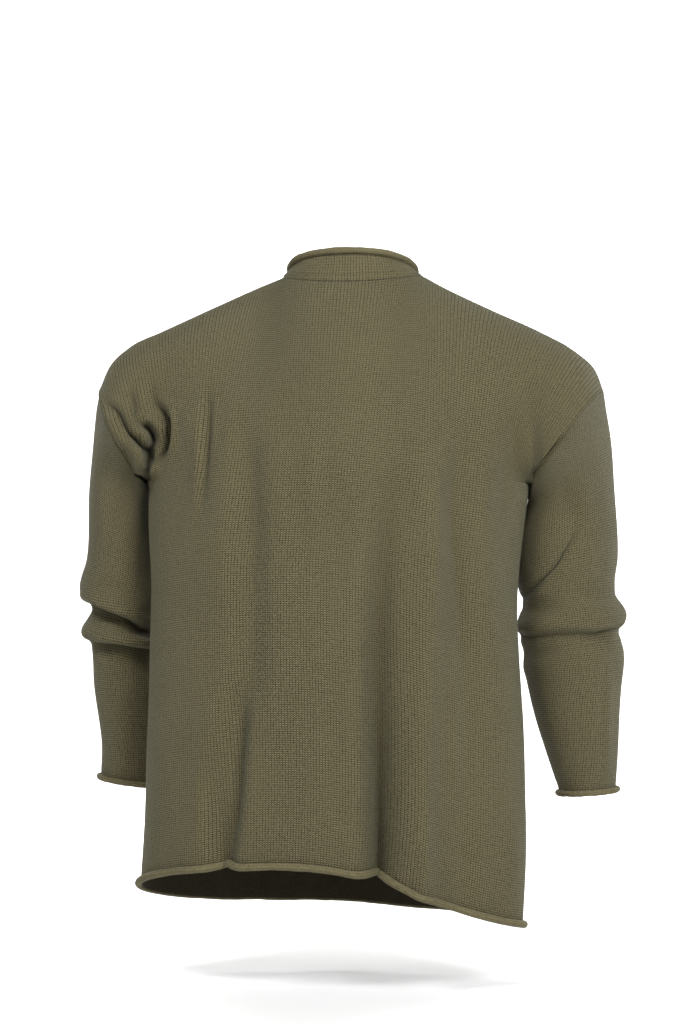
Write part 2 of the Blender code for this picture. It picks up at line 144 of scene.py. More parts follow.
# hem height round the body: 0 is the middle of the back, 90 the wearer's left
hem = dict(
    angle=[-90, -65, -40, -22, -5, 36, 62, 90, 128, 180, 215, 270],
    height=[-0.7225, -0.7130, -0.6920, -0.6670, -0.6550, -0.6570,
            -0.6690, -0.6865, -0.7040, -0.7100, -0.7160, -0.7225],
)
hemAngle = [a - 360 for a in hem["angle"][-4:-1]] + hem["angle"] + [a + 360 for a in hem["angle"][1:4]]
hemHeight = hem["height"][-4:-1] + hem["height"] + hem["height"][1:4]
# the underarm point and the shoulder ridge from the neck point to the sleeve's head
sides = dict(
    left=dict(
        sign=1, underarmOut=0.2270, underarmHeight=-0.232,
        ridgeOut=[0.079, 0.106, 0.150, 0.216, 0.251, 0.273, 0.285],
        ridgeHeight=[-0.005, -0.0155, -0.035, -0.065, -0.081, -0.101, -0.128],
    ),
    right=dict(
        sign=-1, underarmOut=0.1975, underarmHeight=-0.238,
        ridgeOut=[0.079, 0.104, 0.150, 0.215, 0.248, 0.270, 0.280],
        ridgeHeight=[-0.005, -0.0190, -0.0415, -0.072, -0.091, -0.111, -0.136],
    ),
)


# one level's half ring: an ellipse whose sine and cosine are raised to the power fullness, with its columns
# evenly spaced along it and its height between the hem and the underarm
def bodyRow(panel, level, shares):
    facing = 1 if panel == "back" else -1
    quarter = np.linspace(-90, 90, body["ringSteps"])
    angle = quarter if panel == "back" else 180 - quarter
    sine, cosine = np.sin(np.radians(quarter)), np.cos(np.radians(quarter))
    read = {k: through(level, bodyRings["level"], v)[0] for k, v in bodyRings.items() if k != "level"}
    depth = read["backDepth"] if panel == "back" else read["frontDepth"]
    x = read["centreX"] + read["halfWidth"] * np.sign(sine) * np.abs(sine) ** read["fullness"]
    y = read["centreY"] + facing * depth * np.abs(cosine) ** read["fullness"]
    low = through(angle, hemAngle, hemHeight)
    lean = (1 + sine) / 2
    side = sides["left"]["underarmHeight"] * lean + sides["right"]["underarmHeight"] * (1 - lean)
    high = side + (body["underarmCentre"] - side) * cosine
    ring = np.stack([x, y, low + (high - low) * level], axis=1)
    run = runOf(ring)
    at = (shares + 1) / 2 * run[-1]
    return np.stack([np.interp(at, run, ring[:, k]) for k in range(3)], axis=1)


# the shoulder ridges, and between them half an ellipse that falls with a power of the cosine
def topRow(panel, shares):
    neckShare = body["neckShare"]
    turn = np.radians(90 * np.clip(shares / neckShare, -1, 1))
    depth = body["backNeckDepth"] if panel == "back" else -body["frontNeckDepth"]
    middle = body["backNeck"] if panel == "back" else body["frontNeck"]
    drop = np.maximum(np.cos(turn), 0) ** body["neckDrop"]
    row = np.stack([body["neckHalfWidth"] * np.sin(turn), depth * np.cos(turn),
                    body["neckPoint"] + (middle - body["neckPoint"]) * drop], axis=1)
    along = np.clip((np.abs(shares) - neckShare) / (1 - neckShare), 0, 1)
    for side in sides.values():
        out = through(along, body["ridgeAt"], side["ridgeOut"]) * side["sign"]
        height = through(along, body["ridgeAt"], side["ridgeHeight"])
        ridge = np.stack([out, np.zeros_like(out), height], axis=1)
        row = np.where((shares * side["sign"] >= neckShare - 1e-9)[:, None], ridge, row)
    return row


# hem (level 0) by the underarm (1) to the shoulder (2): rings below, cubics over the shoulder above
def bodySkin(panel, shares, levels):
    facing = 1 if panel == "back" else -1
    neckShare = body["neckShare"]
    plain = bodyRow(panel, 1.0, shares)
    under = plain.copy()
    for side in sides.values():
        near = ease((shares * side["sign"] - body["underarmNear"]) / (1 - body["underarmNear"]))
        end = under[-1 if side["sign"] > 0 else 0, 0]
        under[:, 0] += near * (side["sign"] * side["underarmOut"] - end)
    top = topRow(panel, shares)
    away = np.abs(shares)
    turn = ease((away - body["armholeFrom"]) / (1 - body["armholeFrom"]))[:, None]
    rise = unit(plain - bodyRow(panel, body["slopeFrom"], shares)) * body["upperRise"]
    leave = rise * (1 - turn) + np.array([[0, facing * body["armholeSwell"], 0]]) * turn
    spread = ease((away - neckShare) / (body["shoulderRoundBy"] - neckShare))[:, None]
    reach = body["neckRollOver"] + (body["shoulderRollOver"] - body["neckRollOver"]) * spread
    over = np.array([[0, -facing, 0]]) * (reach + (body["armholeSwell"] - reach) * turn)
    upright = ease((1 - away / neckShare) / body["neckCorner"])[:, None]
    arrive = over * (1 - body["neckRollLost"] * upright) + np.array([[0, 0, body["neckRise"]]]) * upright
    rows = []
    for level in levels:
        if level <= 1:
            blend = ease((level - body["underarmFrom"]) / (1 - body["underarmFrom"]))
            rows.append(bodyRow(panel, level, shares) + blend * (under - plain))
        else:
            rows.append(cubic(level - 1, under, top, leave, arrive))
    return np.array(rows)


# Each crease is a path over x and z, here in millimetres, with its depth along the normal (a hollow is
# negative). Width is half the trough's, swell is how much the cloth rises beside it and pinch 1 makes its
# bottom sharp. Draw pulls the cloth in towards the path; with lean the side left of it hangs over and the
# other runs out slowly.
def crease(x, z, depth, width, swell, pinch=0, draw=0, lean=0):
    x, z, depth = (np.array(a) / 1000 for a in (x, z, depth))
    return dict(x=x, z=z, depth=depth, width=width / 1000, swell=swell, pinch=pinch, draw=draw, lean=lean)


backCreases = [
    # long hanging folds
    crease([132, 140, 141], [-120, -190, -285], [-1, -5, -1], width=10, swell=0.2),
    crease([104, 98, 95, 108, 124, 135], [-183, -240, -430, -485, -605, -680], [-3, -12, -11, -12, -16, -14],
           width=17, swell=0.15),
    crease([-62, -50, -46, -47, -46, -43], [-200, -340, -450, -560, -640, -690],
           [-3, -15, -24, -31, -33, -31], width=15, swell=0.1),
    crease([-90, -98.5, -95.5, -90.5, -88], [-190, -292, -425, -532, -700], [2, 11, 12, 14, 15], width=13.5,
           swell=0.1),
    crease([-176, -182, -184], [-360, -500, -715], [1, 7, 8], width=15, swell=0.1),
    crease([-139, -129, -136, -139, -130], [-150, -270, -400, -500, -715], [-2, -12, -9, -5, -5], width=13,
           swell=0.1),
    # finer lines along them
    crease([146, 147.5, 149, 150, 150], [-128, -155, -195, -240, -292], [0, -5.2, -6, -4.2, 0], width=5,
           swell=0.35, draw=0.5),
    crease([103, 105, 110, 122], [-470, -510, -583, -650], [0, -4, -5.2, -3.6], width=8, swell=0.4, draw=0.4,
           lean=-0.6),
    crease([140, 138, 136], [-530, -590, -668], [0, -4, -4], width=8, swell=0.4),
    crease([-58, -55, -48, -47, -47, -44], [-250, -300, -430, -500, -570, -695],
           [-1, -2.2, -2.6, -3.4, -5.2, -5.6], width=15, swell=0.1, draw=0.2),
    crease([-89, -88, -87], [-560, -630, -705], [0, 2, 3.5], width=6.5, swell=0.3),
    crease([30, 28, 22], [-180, -240, -290], [1, 4, 1], width=11, swell=0.1),
    crease([170, 169, 168], [-148, -176, -206], [0, 4, 0], width=10, swell=0.2),
    crease([0, -15], [-580, -622], [-1, -1], width=6, swell=0.2),
    crease([-118, -160], [-634, -660], [-1.2, -1.2], width=6, swell=0.2),
    # by the left armhole
    crease([268, 258, 250, 244, 237, 229, 223, 220], [-149, -155, -163, -174, -185, -193, -203, -216],
           [0, -5, -10, -15, -17, -16, -15, -10], width=5, swell=0.3, pinch=0.5, draw=0.8),
    crease([226, 219, 213.5, 213, 216, 220, 224], [-174, -177, -184, -194, -204, -214, -226],
           [-2, -14, -22, -23, -21, -17, -10], width=5.2, swell=0.26, pinch=0.5, draw=0.8),
    crease([214, 212, 208, 201, 198, 199, 203, 210], [-116, -137, -152, -163, -175, -190, -203, -214],
           [0, -3, -7, -13, -18, -18, -14, -4], width=5.8, swell=0.26, pinch=0.5, draw=0.8),
    crease([238, 234, 231, 232], [-126, -142, -158, -172], [0, -4.4, -5.8, -2], width=5.2, swell=0.35,
           pinch=0.5, draw=0.6),
    # by the right armhole
    crease([-201, -204, -205, -204], [-140, -185, -215, -240], [0, -3, -3.5, -3], width=6, swell=0.2,
           lean=0.8),
    crease([-178, -176, -170], [-205, -245, -300], [0, -2.5, 0], width=9, swell=0.3),
]
frontCreases = [
    crease([60, 66, 76, 90], [-180, -330, -530, -740], [0, -7, -11, -14], width=26, swell=0.1),
    crease([-70, -66, -58, -50], [-200, -360, -560, -740], [0, -7, -11, -16], width=24, swell=0.1),
    crease([-2, 2, 20], [-260, -460, -740], [0, 4, 7], width=26, swell=0),
    crease([140, 148, 152], [-260, -450, -720], [0, -6, -9], width=20, swell=0.1),
    crease([-140, -139, -130], [-260, -450, -740], [0, -6, -9], width=20, swell=0.1),
    crease([205, 195, 180, 160], [-130, -175, -225, -300], [-2, -8, -7, 0], width=12, swell=0.3),
    crease([-200, -186, -170, -150], [-130, -180, -230, -300], [-2, -8, -7, 0], width=12, swell=0.3),
    crease([243, 232, 222, 214], [-150, -175, -200, -226], [0, -4, -6, -4], width=6.5, swell=0.5),
    crease([222, 210, 196, 184], [-165, -200, -235, -290], [0, -4, -4.5, 0], width=7, swell=0.45),
    crease([-236, -222, -208, -198], [-160, -186, -208, -234], [0, -4.5, -6, -4], width=6.5, swell=0.5),
    crease([-170, -165, -158], [-230, -280, -350], [0, -3, 0], width=8, swell=0.4),
    crease([30, 33, 40], [-420, -560, -720], [0, -2, -3], width=8, swell=0.3),
    crease([-104, -101, -98], [-480, -600, -720], [0, 2.5, 3.5], width=7, swell=0.2),
    crease([-55, -20, 15, 50], [-112, -120, -121, -114], [0, -1.6, -1.6, 0], width=8, swell=0.4),
]

# parts of a crease measured in its widths, and the depth at which its bottom is in full painted shade
creaseShape = dict(
    step=0.18, samples=(40, 220), margin=4, nearest=0.35, sided=0.3, leanOver=0.15, leanIn=0.6,
    sharp=1.6, swellAt=1.9, swellWidth=0.8, drawWidth=1.3, shadeWidth=0.55, shadeDepth=0.012,
)


# A bell over the distance to the path sets the trough, a second one the swell beside it. What lies up to
# about a width from the path is drawn in towards it, and the bottoms of drawn creases get painted shade.
def creaseField(x, z, creases):
    s = creaseShape
    moved, drawn, creaseShade = np.zeros(x.shape), np.zeros(x.shape + (3,)), np.zeros(x.shape)
    for c in creases:
        width = c["width"]
        knots = np.linspace(0, 1, len(c["x"]))
        length = np.hypot(np.diff(c["x"]), np.diff(c["z"])).sum()
        t = np.linspace(0, 1, int(np.clip(length / (s["step"] * width), *s["samples"])))
        line = np.stack([through(t, knots, c["x"]), through(t, knots, c["z"])], axis=1)
        depth = through(t, knots, c["depth"])
        low, high = line.min(axis=0) - width * s["margin"], line.max(axis=0) + width * s["margin"]
        close = (x > low[0]) & (x < high[0]) & (z > low[1]) & (z < high[1])
        place = np.stack([x[close], z[close]], axis=1)
        if not len(place):
            continue
        step = place[:, None] - line[None]
        gaps = np.linalg.norm(step, axis=2)
        weight = bell((gaps - gaps.min(axis=1, keepdims=True)) / (s["nearest"] * width))
        weight /= weight.sum(axis=1, keepdims=True)
        local = (weight * depth).sum(axis=1)
        offset = (weight[..., None] * step).sum(axis=1)
        heading = weight @ unit(np.gradient(line, axis=0))
        turnedTo = heading[:, 0] * offset[:, 1] - heading[:, 1] * offset[:, 0]
        side = np.tanh(turnedTo / (s["sided"] * width))
        q = gaps.min(axis=1) / width
        wide = q / (1 + abs(c["lean"]) * s["leanOver"] - s["leanIn"] * c["lean"] * side)
        sharp = np.exp(-s["sharp"] * np.sqrt(wide ** 2 + 0.01))
        trough = (1 - c["pinch"]) * bell(wide) + c["pinch"] * sharp
        swell = c["swell"] * (1 + c["lean"] * side) * bell((q - s["swellAt"]) / s["swellWidth"])
        moved[close] += local * (trough - swell)
        pull = c["draw"] * bell(q / s["drawWidth"]) * np.clip(np.abs(local) / np.abs(depth).max(), 0, 1)
        drawn[close] -= np.stack([offset[:, 0] * pull, np.zeros_like(pull), offset[:, 1] * pull], axis=1)
        # painted shade: the colour is darkened at the bottoms of drawn creases
        if c["draw"]:
            shade = np.clip(-local / s["shadeDepth"], 0, 1) * bell(q / s["shadeWidth"])
            creaseShade[close] = np.maximum(creaseShade[close], shade)
    return moved, drawn, creaseShade


# what is drawn in stays in the cloth's own plane
def alongCloth(drawn, normal):
    return drawn - normal * (drawn * normal).sum(axis=2, keepdims=True)


slackHeight = 0.00055


# slow unevenness of hanging cloth: three crossed waves of about a millimetre
def slack(a, b, seed):
    crossed = np.sin(37 * a + 11 * b + seed) * np.sin(23 * b - 9 * a + 2.1 * seed)
    quick = 0.6 * np.sin(71 * a - 29 * b + 1.7 * seed)
    slow = 0.5 * np.sin(17 * a + 53 * b + 0.6 * seed)
    return (crossed + quick + slow) * slackHeight


# Where a panel's moves die out, as shares of its half width and as levels, and the seed of its slackness.
# The ridge stands up along the armhole seam; evened is where columns are evened below the neck corners.
panels = dict(
    back=dict(creases=backCreases, seed=1.3), front=dict(creases=frontCreases, seed=4.2),
    calmSide=0.06, calmArmhole=0.12, calmShoulder=0.12, slackSide=0.12, slackShoulder=0.3,
    ridge=dict(height=0.0030, width=0.0028, start=1.02, rise=0.12, end=1.98, fall=0.40),
    evened=dict(passes=60, start=1.15, rise=0.3, fall=0.16, centre=0.04, reach=0.26, edge=0.18),
)


# the panels' edge stands up along the armhole seam: a bell over the distance to it
def seamRidge(share, level):
    r = panels["ridge"]
    inward = (1 - np.abs(share)) * body["halfCloth"]
    start, end = ease((level - r["start"]) / r["rise"]), ease((r["end"] - level) / r["fall"])
    return r["height"] * bell(inward / r["width"]) * start * end


# how far a panel's points move, and how much painted shade their colour gets
def panelMove(panel, skin, normal, shares, levels):
    own = panels[panel]
    level, share = np.meshgrid(levels, shares, indexing="ij")
    inward = 1 - np.abs(share)
    away = ease(inward / panels["calmSide"])
    calm = np.where(level <= 1, away, np.maximum(away, ease((level - 1) / panels["calmArmhole"])))
    calm = calm * ease((2 - level) / panels["calmShoulder"])
    x, z = skin[..., 0], skin[..., 2]
    moved, drawn, creaseShade = creaseField(x, z, own["creases"])
    loose = slack(x, z, own["seed"]) * ease(inward / panels["slackSide"])
    loose = loose * ease((2 - level) / panels["slackShoulder"])
    moved = moved * calm + loose + seamRidge(share, level)
    return normal * moved[..., None] + alongCloth(drawn, normal) * calm[..., None], creaseShade * calm


# below the neckline's corners the columns are evened out, so that no line runs down from them
def evened(skin, shares, levels):
    e = panels["evened"]
    level, share = np.meshgrid(levels, np.abs(shares), indexing="ij")
    beside = np.abs(share - body["neckShare"] - e["centre"])
    near = ease((level - e["start"]) / e["rise"]) * ease((2 - level) / e["fall"])
    near = near * ease((e["reach"] - beside) / e["edge"])
    for _ in range(e["passes"]):
        middle = (skin[:, :-2] + 2 * skin[:, 1:-1] + skin[:, 2:]) / 4
        skin[:, 1:-1] += near[:, 1:-1, None] * (middle - skin[:, 1:-1])
    return skin


# columns crowd towards the armholes, rows towards the underarm
outward = 1 - (1 - np.linspace(0, 1, body["shoulderColumns"] + 1)) ** body["crowding"]
outward = body["neckShare"] + (1 - body["neckShare"]) * outward
neckline = np.linspace(-body["neckShare"], body["neckShare"], body["neckColumns"] + 1)[1:-1]
shares = np.concatenate([-outward[::-1], neckline, outward])
levels = np.concatenate([
    np.linspace(0, body["fineFrom"], body["lowRows"] + 1)[:-1],
    np.linspace(body["fineFrom"], 1, body["sideRows"] - body["lowRows"] + 1)[:-1],
    1 + np.linspace(0, 1, body["armholeRows"] + 1) ** body["armholeCrowding"],
])
turned = dict(back=True, front=False, sleeve_left=True, sleeve_right=False, collar=False)

plainSkins = {panel: evened(bodySkin(panel, shares, levels), shares, levels) for panel in ("back", "front")}
plainNormals = sharedNormals(plainSkins, turned)
# painted shade: how much each point's colour is darkened in creases and grooves
skins, paintedShades = {}, {}
for panel, skin in plainSkins.items():
    move, paintedShades[panel] = panelMove(panel, skin, plainNormals[panel], shares, levels)
    skins[panel] = skin + move
print("front and back shaped")


# Each sleeve's section is set by its outer and inner point seen from behind and by its half depth.
# Under the panels' edge the sleeve slopes away; groove is the depth of the line beside the seam.
sleeves = dict(
    rows=236, headTo=0.04, elbowFrom=0.34, elbowTo=0.66, crowd=[0, 0.07, 0.27, 0.80, 1],
    calm=0.05, slackRadius=0.06, slackSeed=2.7, slackMore=1.3, behind=-0.35, before=0.15, facingBlend=0.5,
    under=dict(length=0.48, slope=0.0034, slopeWidth=0.015, grooveAt=0.0042, grooveWidth=0.0034,
               start=0.0016, shoulder=0.25, underarm=0.10, grooveFrom=0.30, grooveRise=0.30),
    at=[0.10, 0.22, 0.36, 0.44, 0.49, 0.54, 0.59, 0.70, 0.85, 1.00],
    left=dict(
        groove=0.0085,
        out=[0.297, 0.3065, 0.3125, 0.3195, 0.308, 0.3185, 0.31, 0.3065, 0.3, 0.302],
        high=[-0.178, -0.245, -0.318, -0.357, -0.38, -0.402, -0.417, -0.466, -0.528, -0.571],
        inner=[0.231, 0.229, 0.224, 0.2205, 0.226, 0.22, 0.227, 0.222, 0.225, 0.229],
        low=[-0.26, -0.293, -0.345, -0.378, -0.402, -0.418, -0.431, -0.47, -0.528, -0.581],
        centreY=[-0.022, -0.034, -0.042, -0.044, -0.046, -0.048, -0.05, -0.056, -0.066, -0.074],
        halfDepth=[0.073, 0.067, 0.062, 0.062, 0.052, 0.058, 0.049, 0.048, 0.042, 0.037],
    ),
    right=dict(
        groove=0.004,
        out=[0.287, 0.2905, 0.294, 0.2925, 0.3045, 0.2965, 0.3, 0.2965, 0.293, 0.29],
        high=[-0.182, -0.24, -0.318, -0.36, -0.383, -0.404, -0.424, -0.47, -0.536, -0.581],
        inner=[0.1925, 0.1812, 0.1802, 0.187, 0.182, 0.186, 0.186, 0.194, 0.212, 0.227],
        low=[-0.262, -0.292, -0.344, -0.371, -0.397, -0.418, -0.434, -0.476, -0.536, -0.585],
        centreY=[-0.026, -0.042, -0.045, -0.047, -0.048, -0.05, -0.052, -0.056, -0.066, -0.074],
        halfDepth=[0.071, 0.066, 0.062, 0.058, 0.061, 0.053, 0.054, 0.05, 0.043, 0.037],
    ),
)
leftBack = [
    crease([308, 295, 275, 253, 240, 226], [-373, -378, -385, -393, -400, -406], [-3, -8, -10, -10.5, -9, -4],
           width=6, swell=0.4, pinch=0.5, draw=0.8, lean=-0.8),
    crease([306, 292, 272, 254, 238, 226], [-415, -420, -422, -424, -426, -427], [-2, -6.5, -8, -8, -6.5, -3],
           width=5.6, swell=0.35, pinch=0.5, draw=0.8, lean=-0.8),
    crease([290, 270, 250], [-345, -352, -362], [0, -2.2, -1.8], width=8, swell=0.4),
    crease([262, 255, 252], [-235, -275, -330], [0, -3, 0], width=12, swell=0.2),
    crease([290, 270, 250], [-462, -457, -450], [0, -1.8, -1], width=8, swell=0.3),
]
leftFront = [
    crease([230, 248, 270, 290, 305], [-372, -376, -384, -386, -380], [-4, -8, -8.5, -6, -2], width=6.8,
           swell=0.55),
    crease([230, 250, 272, 294], [-400, -405, -412, -416], [-3, -6.5, -6, -2], width=6.2, swell=0.5),
    crease([240, 262, 286], [-345, -352, -350], [0, -3.5, 0], width=8, swell=0.4),
    crease([236, 256, 280], [-436, -440, -446], [0, -3, 0], width=7.5, swell=0.4),
    crease([246, 262, 270], [-215, -245, -290], [0, -3.5, 0], width=12, swell=0.2),
]
rightBack = [
    crease([-252, -247, -236, -227, -207, -190], [-285, -299, -316, -330, -349, -364],
           [0, -3.5, -5, -5.5, -6, -3], width=5, swell=0.2, pinch=0.4, draw=0.8),
    crease([-190, -210, -236], [-378, -376, -373], [-2, -4, 0], width=8.5, swell=0.4),
    crease([-190, -215, -240], [-429, -426, -424], [-2, -3.5, 0], width=8.5, swell=0.4),
    crease([-186, -197, -244, -267, -280, -296], [-407, -409, -405, -406, -404, -401],
           [-3, -3.5, -3.5, -5, -6.8, -3], width=5.2, swell=0.3, pinch=0.4, draw=0.8, lean=-0.4),
    crease([-286, -262, -240], [-366, -362, -350], [-2, -2.8, 0], width=8, swell=0.3),
    crease([-228, -240, -250], [-228, -255, -300], [0, -3, 0], width=11, swell=0.2),
    crease([-284, -284, -282, -280], [-420, -470, -530, -575], [0, 1.2, 1.2, 0], width=4, swell=0.5),
]
rightFront = [
    crease([-192, -215, -245, -272, -290], [-372, -377, -386, -387, -380], [-4, -8, -8.5, -6, -2], width=6.8,
           swell=0.55),
    crease([-190, -218, -246, -276], [-402, -408, -416, -420], [-3, -6.5, -6, -2], width=6.2, swell=0.5),
    crease([-206, -230, -262], [-340, -350, -348], [0, -3.5, 0], width=8, swell=0.4),
    crease([-206, -232, -262], [-440, -446, -452], [0, -3, 0], width=7.5, swell=0.4),
    crease([-226, -242, -252], [-215, -245, -290], [0, -3.5, 0], width=12, swell=0.2),
]


# the armhole from the end of the shoulder down the back, by the underarm and up the front
def armholeLoop(side):
    edge = -1 if side["sign"] > 0 else 0
    count = body["armholeRows"]
    return np.concatenate([skins["back"][::-1][:count + 1, edge], skins["front"][-count - 1:, edge][1:]])


# rows crowd at the armhole seam and at the elbow's folds
sleeveLevels = np.interp(
    np.linspace(0, 1, sleeves["rows"] + 1), sleeves["crowd"],
    [0, sleeves["headTo"], sleeves["elbowFrom"], sleeves["elbowTo"], 1],
)


# the sleeve falls away under the panels' edge, most towards the underarm: a wide bell and a narrow one
def underRidge(level, turn, groove):
    u = sleeves["under"]
    down = level * u["length"]
    share = 1 - np.abs(turn / np.pi - 1)
    ends = ease(share / u["shoulder"]) * ease((1 - share) / u["underarm"])
    slope = u["slope"] * bell(down / u["slopeWidth"]) * (0.4 + 0.6 * share)
    band = groove * bell((down - u["grooveAt"]) / u["grooveWidth"])
    band = band * ease((share - u["grooveFrom"]) / u["grooveRise"])
    start = (1 - bell(down / u["start"])) * ends
    # the second value is painted shade: the colour is darkened along the groove beside the seam
    return -(slope + band) * start, band / groove * start


# a tube from the armhole through its sections; a section is middle + reach cos + depth sin
def sleeveSkin(name, loop):
    side, table = sides[name], sleeves[name]
    turn = np.linspace(0, 2 * np.pi, len(loop))[:, None]
    rings = [loop]
    columns = [table[k] for k in ("out", "high", "inner", "low", "centreY", "halfDepth")]
    for out, high, inner, low, y, depth in zip(*columns):
        outer, under = np.array([side["sign"] * out, y, high]), np.array([side["sign"] * inner, y, low])
        reach = np.cos(turn) * (outer - under) / 2
        rings.append((outer + under) / 2 + reach + np.sin(turn) * np.array([0, depth, 0]))
    rings = np.array(rings)
    tube = through(sleeveLevels, [0.0] + sleeves["at"], rings.reshape(len(rings), -1))
    return tube.reshape(len(sleeveLevels), len(loop), 3)


for name, backList, frontList in (("left", leftBack, leftFront), ("right", rightBack, rightFront)):
    tube = sleeveSkin(name, armholeLoop(sides[name]))
    normal = sharedNormals({"tube": tube}, {"tube": sides[name]["sign"] > 0})["tube"]
    x, facing, z = tube[..., 0], normal[..., 1], tube[..., 2]
    behind = ease((facing - sleeves["behind"]) / sleeves["facingBlend"])
    before = ease((sleeves["before"] - facing) / sleeves["facingBlend"])
    backMove, backDraw, backShade = creaseField(x, z, backList)
    frontMove, frontDraw, frontShade = creaseField(x, z, frontList)
    calm = (ease(sleeveLevels / sleeves["calm"]) * ease((1 - sleeveLevels) / sleeves["calm"]))[:, None]
    turn = np.linspace(0, 2 * np.pi, tube.shape[1])[None]
    around = sleeves["slackRadius"] * np.cos(turn)
    loose = slack(around, z, sleeves["slackSeed"] * sides[name]["sign"]) * sleeves["slackMore"]
    under, underShade = underRidge(sleeveLevels[:, None], turn, sleeves[name]["groove"])
    move = (backMove * behind + frontMove * before + loose) * calm + under
    # painted shade: the colour is darkened at crease bottoms and along the groove beside the seam
    creased = np.maximum(backShade * behind, frontShade * before) * calm
    drawn = alongCloth(backDraw * behind[..., None] + frontDraw * before[..., None], normal)
    paintedShades["sleeve_" + name] = np.maximum(creased, underShade)
    skins["sleeve_" + name] = tube + normal * move[..., None] + drawn * calm[..., None]
print("sleeves shaped")


# the collar's top oval, its heights, the low ridge where it is linked on, its slow waves and its map's girth
collar = dict(
    rows=26, halfWidth=0.070, backDepth=0.061, frontDepth=0.083, back=0.0175, side=-0.0020, front=-0.038,
    ridge=0.0009, ridgeAt=0.24, ridgeWidth=0.10, slowWave=0.0009, quickWave=0.0005, mapGirth=0.45,
)


# straight lines from the neckline up to an oval, whose height is a sum of the sine and its square
def collarSkin():
    first, last = body["shoulderColumns"], body["shoulderColumns"] + body["neckColumns"]
    loop = np.concatenate([skins["back"][-1, first:last + 1][::-1], skins["front"][-1, first:last + 1][1:]])
    turn = np.linspace(0, 2 * np.pi, len(loop))
    cosine, sine = np.cos(turn), np.sin(turn)
    depth = np.where(sine >= 0, collar["backDepth"], collar["frontDepth"])
    tilt = (collar["back"] - collar["front"]) / 2 * sine
    height = collar["side"] + tilt + ((collar["back"] + collar["front"]) / 2 - collar["side"]) * sine ** 2
    top = np.stack([collar["halfWidth"] * cosine, depth * sine, height], axis=1)
    share = np.linspace(0, 1, collar["rows"] + 1)[:, None, None]
    return loop + (top - loop) * share


# a bell-shaped ridge near the seam, and two waves round the collar that die out at its edges
def collarMove(grid):
    up = np.linspace(0, 1, len(grid))[:, None]
    turn = np.linspace(0, 2 * np.pi, grid.shape[1])[None]
    ridge = bell((up - collar["ridgeAt"]) / collar["ridgeWidth"]) * collar["ridge"]
    waves = collar["slowWave"] * np.sin(3 * turn + 0.4) + collar["quickWave"] * np.sin(7 * turn + 1.1)
    return ridge + np.sin(np.pi * up) ** 2 * waves


strip = collarSkin()
stripNormal = sharedNormals({"collar": strip}, turned)["collar"]
skins["collar"] = strip + stripNormal * collarMove(strip)[..., None]
paintedShades["collar"] = np.zeros(strip.shape[:2])
normals = sharedNormals(skins, turned)
print("collar shaped")


# the wall and its seam gap, the rolled free edges (turn in degrees), where the painted shade inside starts,
# the maps
cloth = dict(
    wall=0.0019, seamGap=0.00006, hemRoll=0.0023, cuffRoll=0.0017, collarRoll=0.0018,
    rollTurn=290, rollSteps=16, uneven=0.14, seed=1.0, seedStep=1.9, shadeFrom=2, shadeBlend=2.5,
    sharpAngle=60, mapStretch=1.4, mapSeam=0.03,
)


# the free edge curls outward: rows round a centre one radius off the cloth, the radius a sum of three waves
def rolled(outer, normal, radius, seed):
    inner = outer - normal * cloth["wall"]
    onward = unit(outer[-1] - outer[-2])
    out = unit(normal[-1] - onward * (normal[-1] * onward).sum(axis=1, keepdims=True))
    inner[-1] = outer[-1] - out * cloth["wall"]
    run = runOf(outer[-1])
    closed = np.allclose(outer[-1, 0], outer[-1, -1], atol=1e-6)
    turns = 2 * np.pi * run / run[-1]
    wobble = np.sin(9 * turns + seed) + 0.7 * np.sin(17 * turns + 2 * seed)
    wobble = wobble + 0.5 * np.sin(31 * turns + 3 * seed)
    wobble = wobble * (1 if closed else np.sin(turns / 2) ** 0.5)
    size = radius * (1 + cloth["uneven"] * wobble / 2.2)[:, None]
    centre = outer[-1] + out * size
    outers, inners = [outer], [inner]
    for angle in np.radians(np.linspace(0, cloth["rollTurn"], cloth["rollSteps"] + 1)[1:]):
        spoke = onward * np.sin(angle) - out * np.cos(angle)
        outers.append((centre + spoke * size)[None])
        inners.append((centre + spoke * (size + cloth["wall"]))[None])
    return np.concatenate(outers), np.concatenate(inners)


# seam edges move into the piece, square to the edge
def drawBack(outer, inner, tube, flip):
    rows, columns = outer.shape[:2]
    if tube:
        row, col = np.zeros(columns - 1, int), np.arange(columns - 1)
    else:
        row = np.concatenate([np.arange(rows - 1, 0, -1), np.zeros(columns, int), np.arange(1, rows)])
        col = np.concatenate([np.zeros(rows - 1, int), np.arange(columns), np.full(rows - 1, columns - 1)])
    points, under = outer[row, col], inner[row, col]
    normal = unit(points - under)
    onward = unit(np.roll(points, -1, axis=0) - points)
    if not tube:
        onward[-1] = onward[-2]
    before = np.roll(onward, 1, axis=0)
    if not tube:
        before[0] = onward[0]
    both = (unit(np.cross(normal, before)) + unit(np.cross(normal, onward))) * (-1 if flip else 1)
    move = both * (2 * cloth["seamGap"] / np.maximum((both ** 2).sum(axis=1, keepdims=True), 0.2))
    outer[row, col] += move
    inner[row, col] += move
    if tube:
        outer[0, -1], inner[0, -1] = outer[0, 0], inner[0, 0]


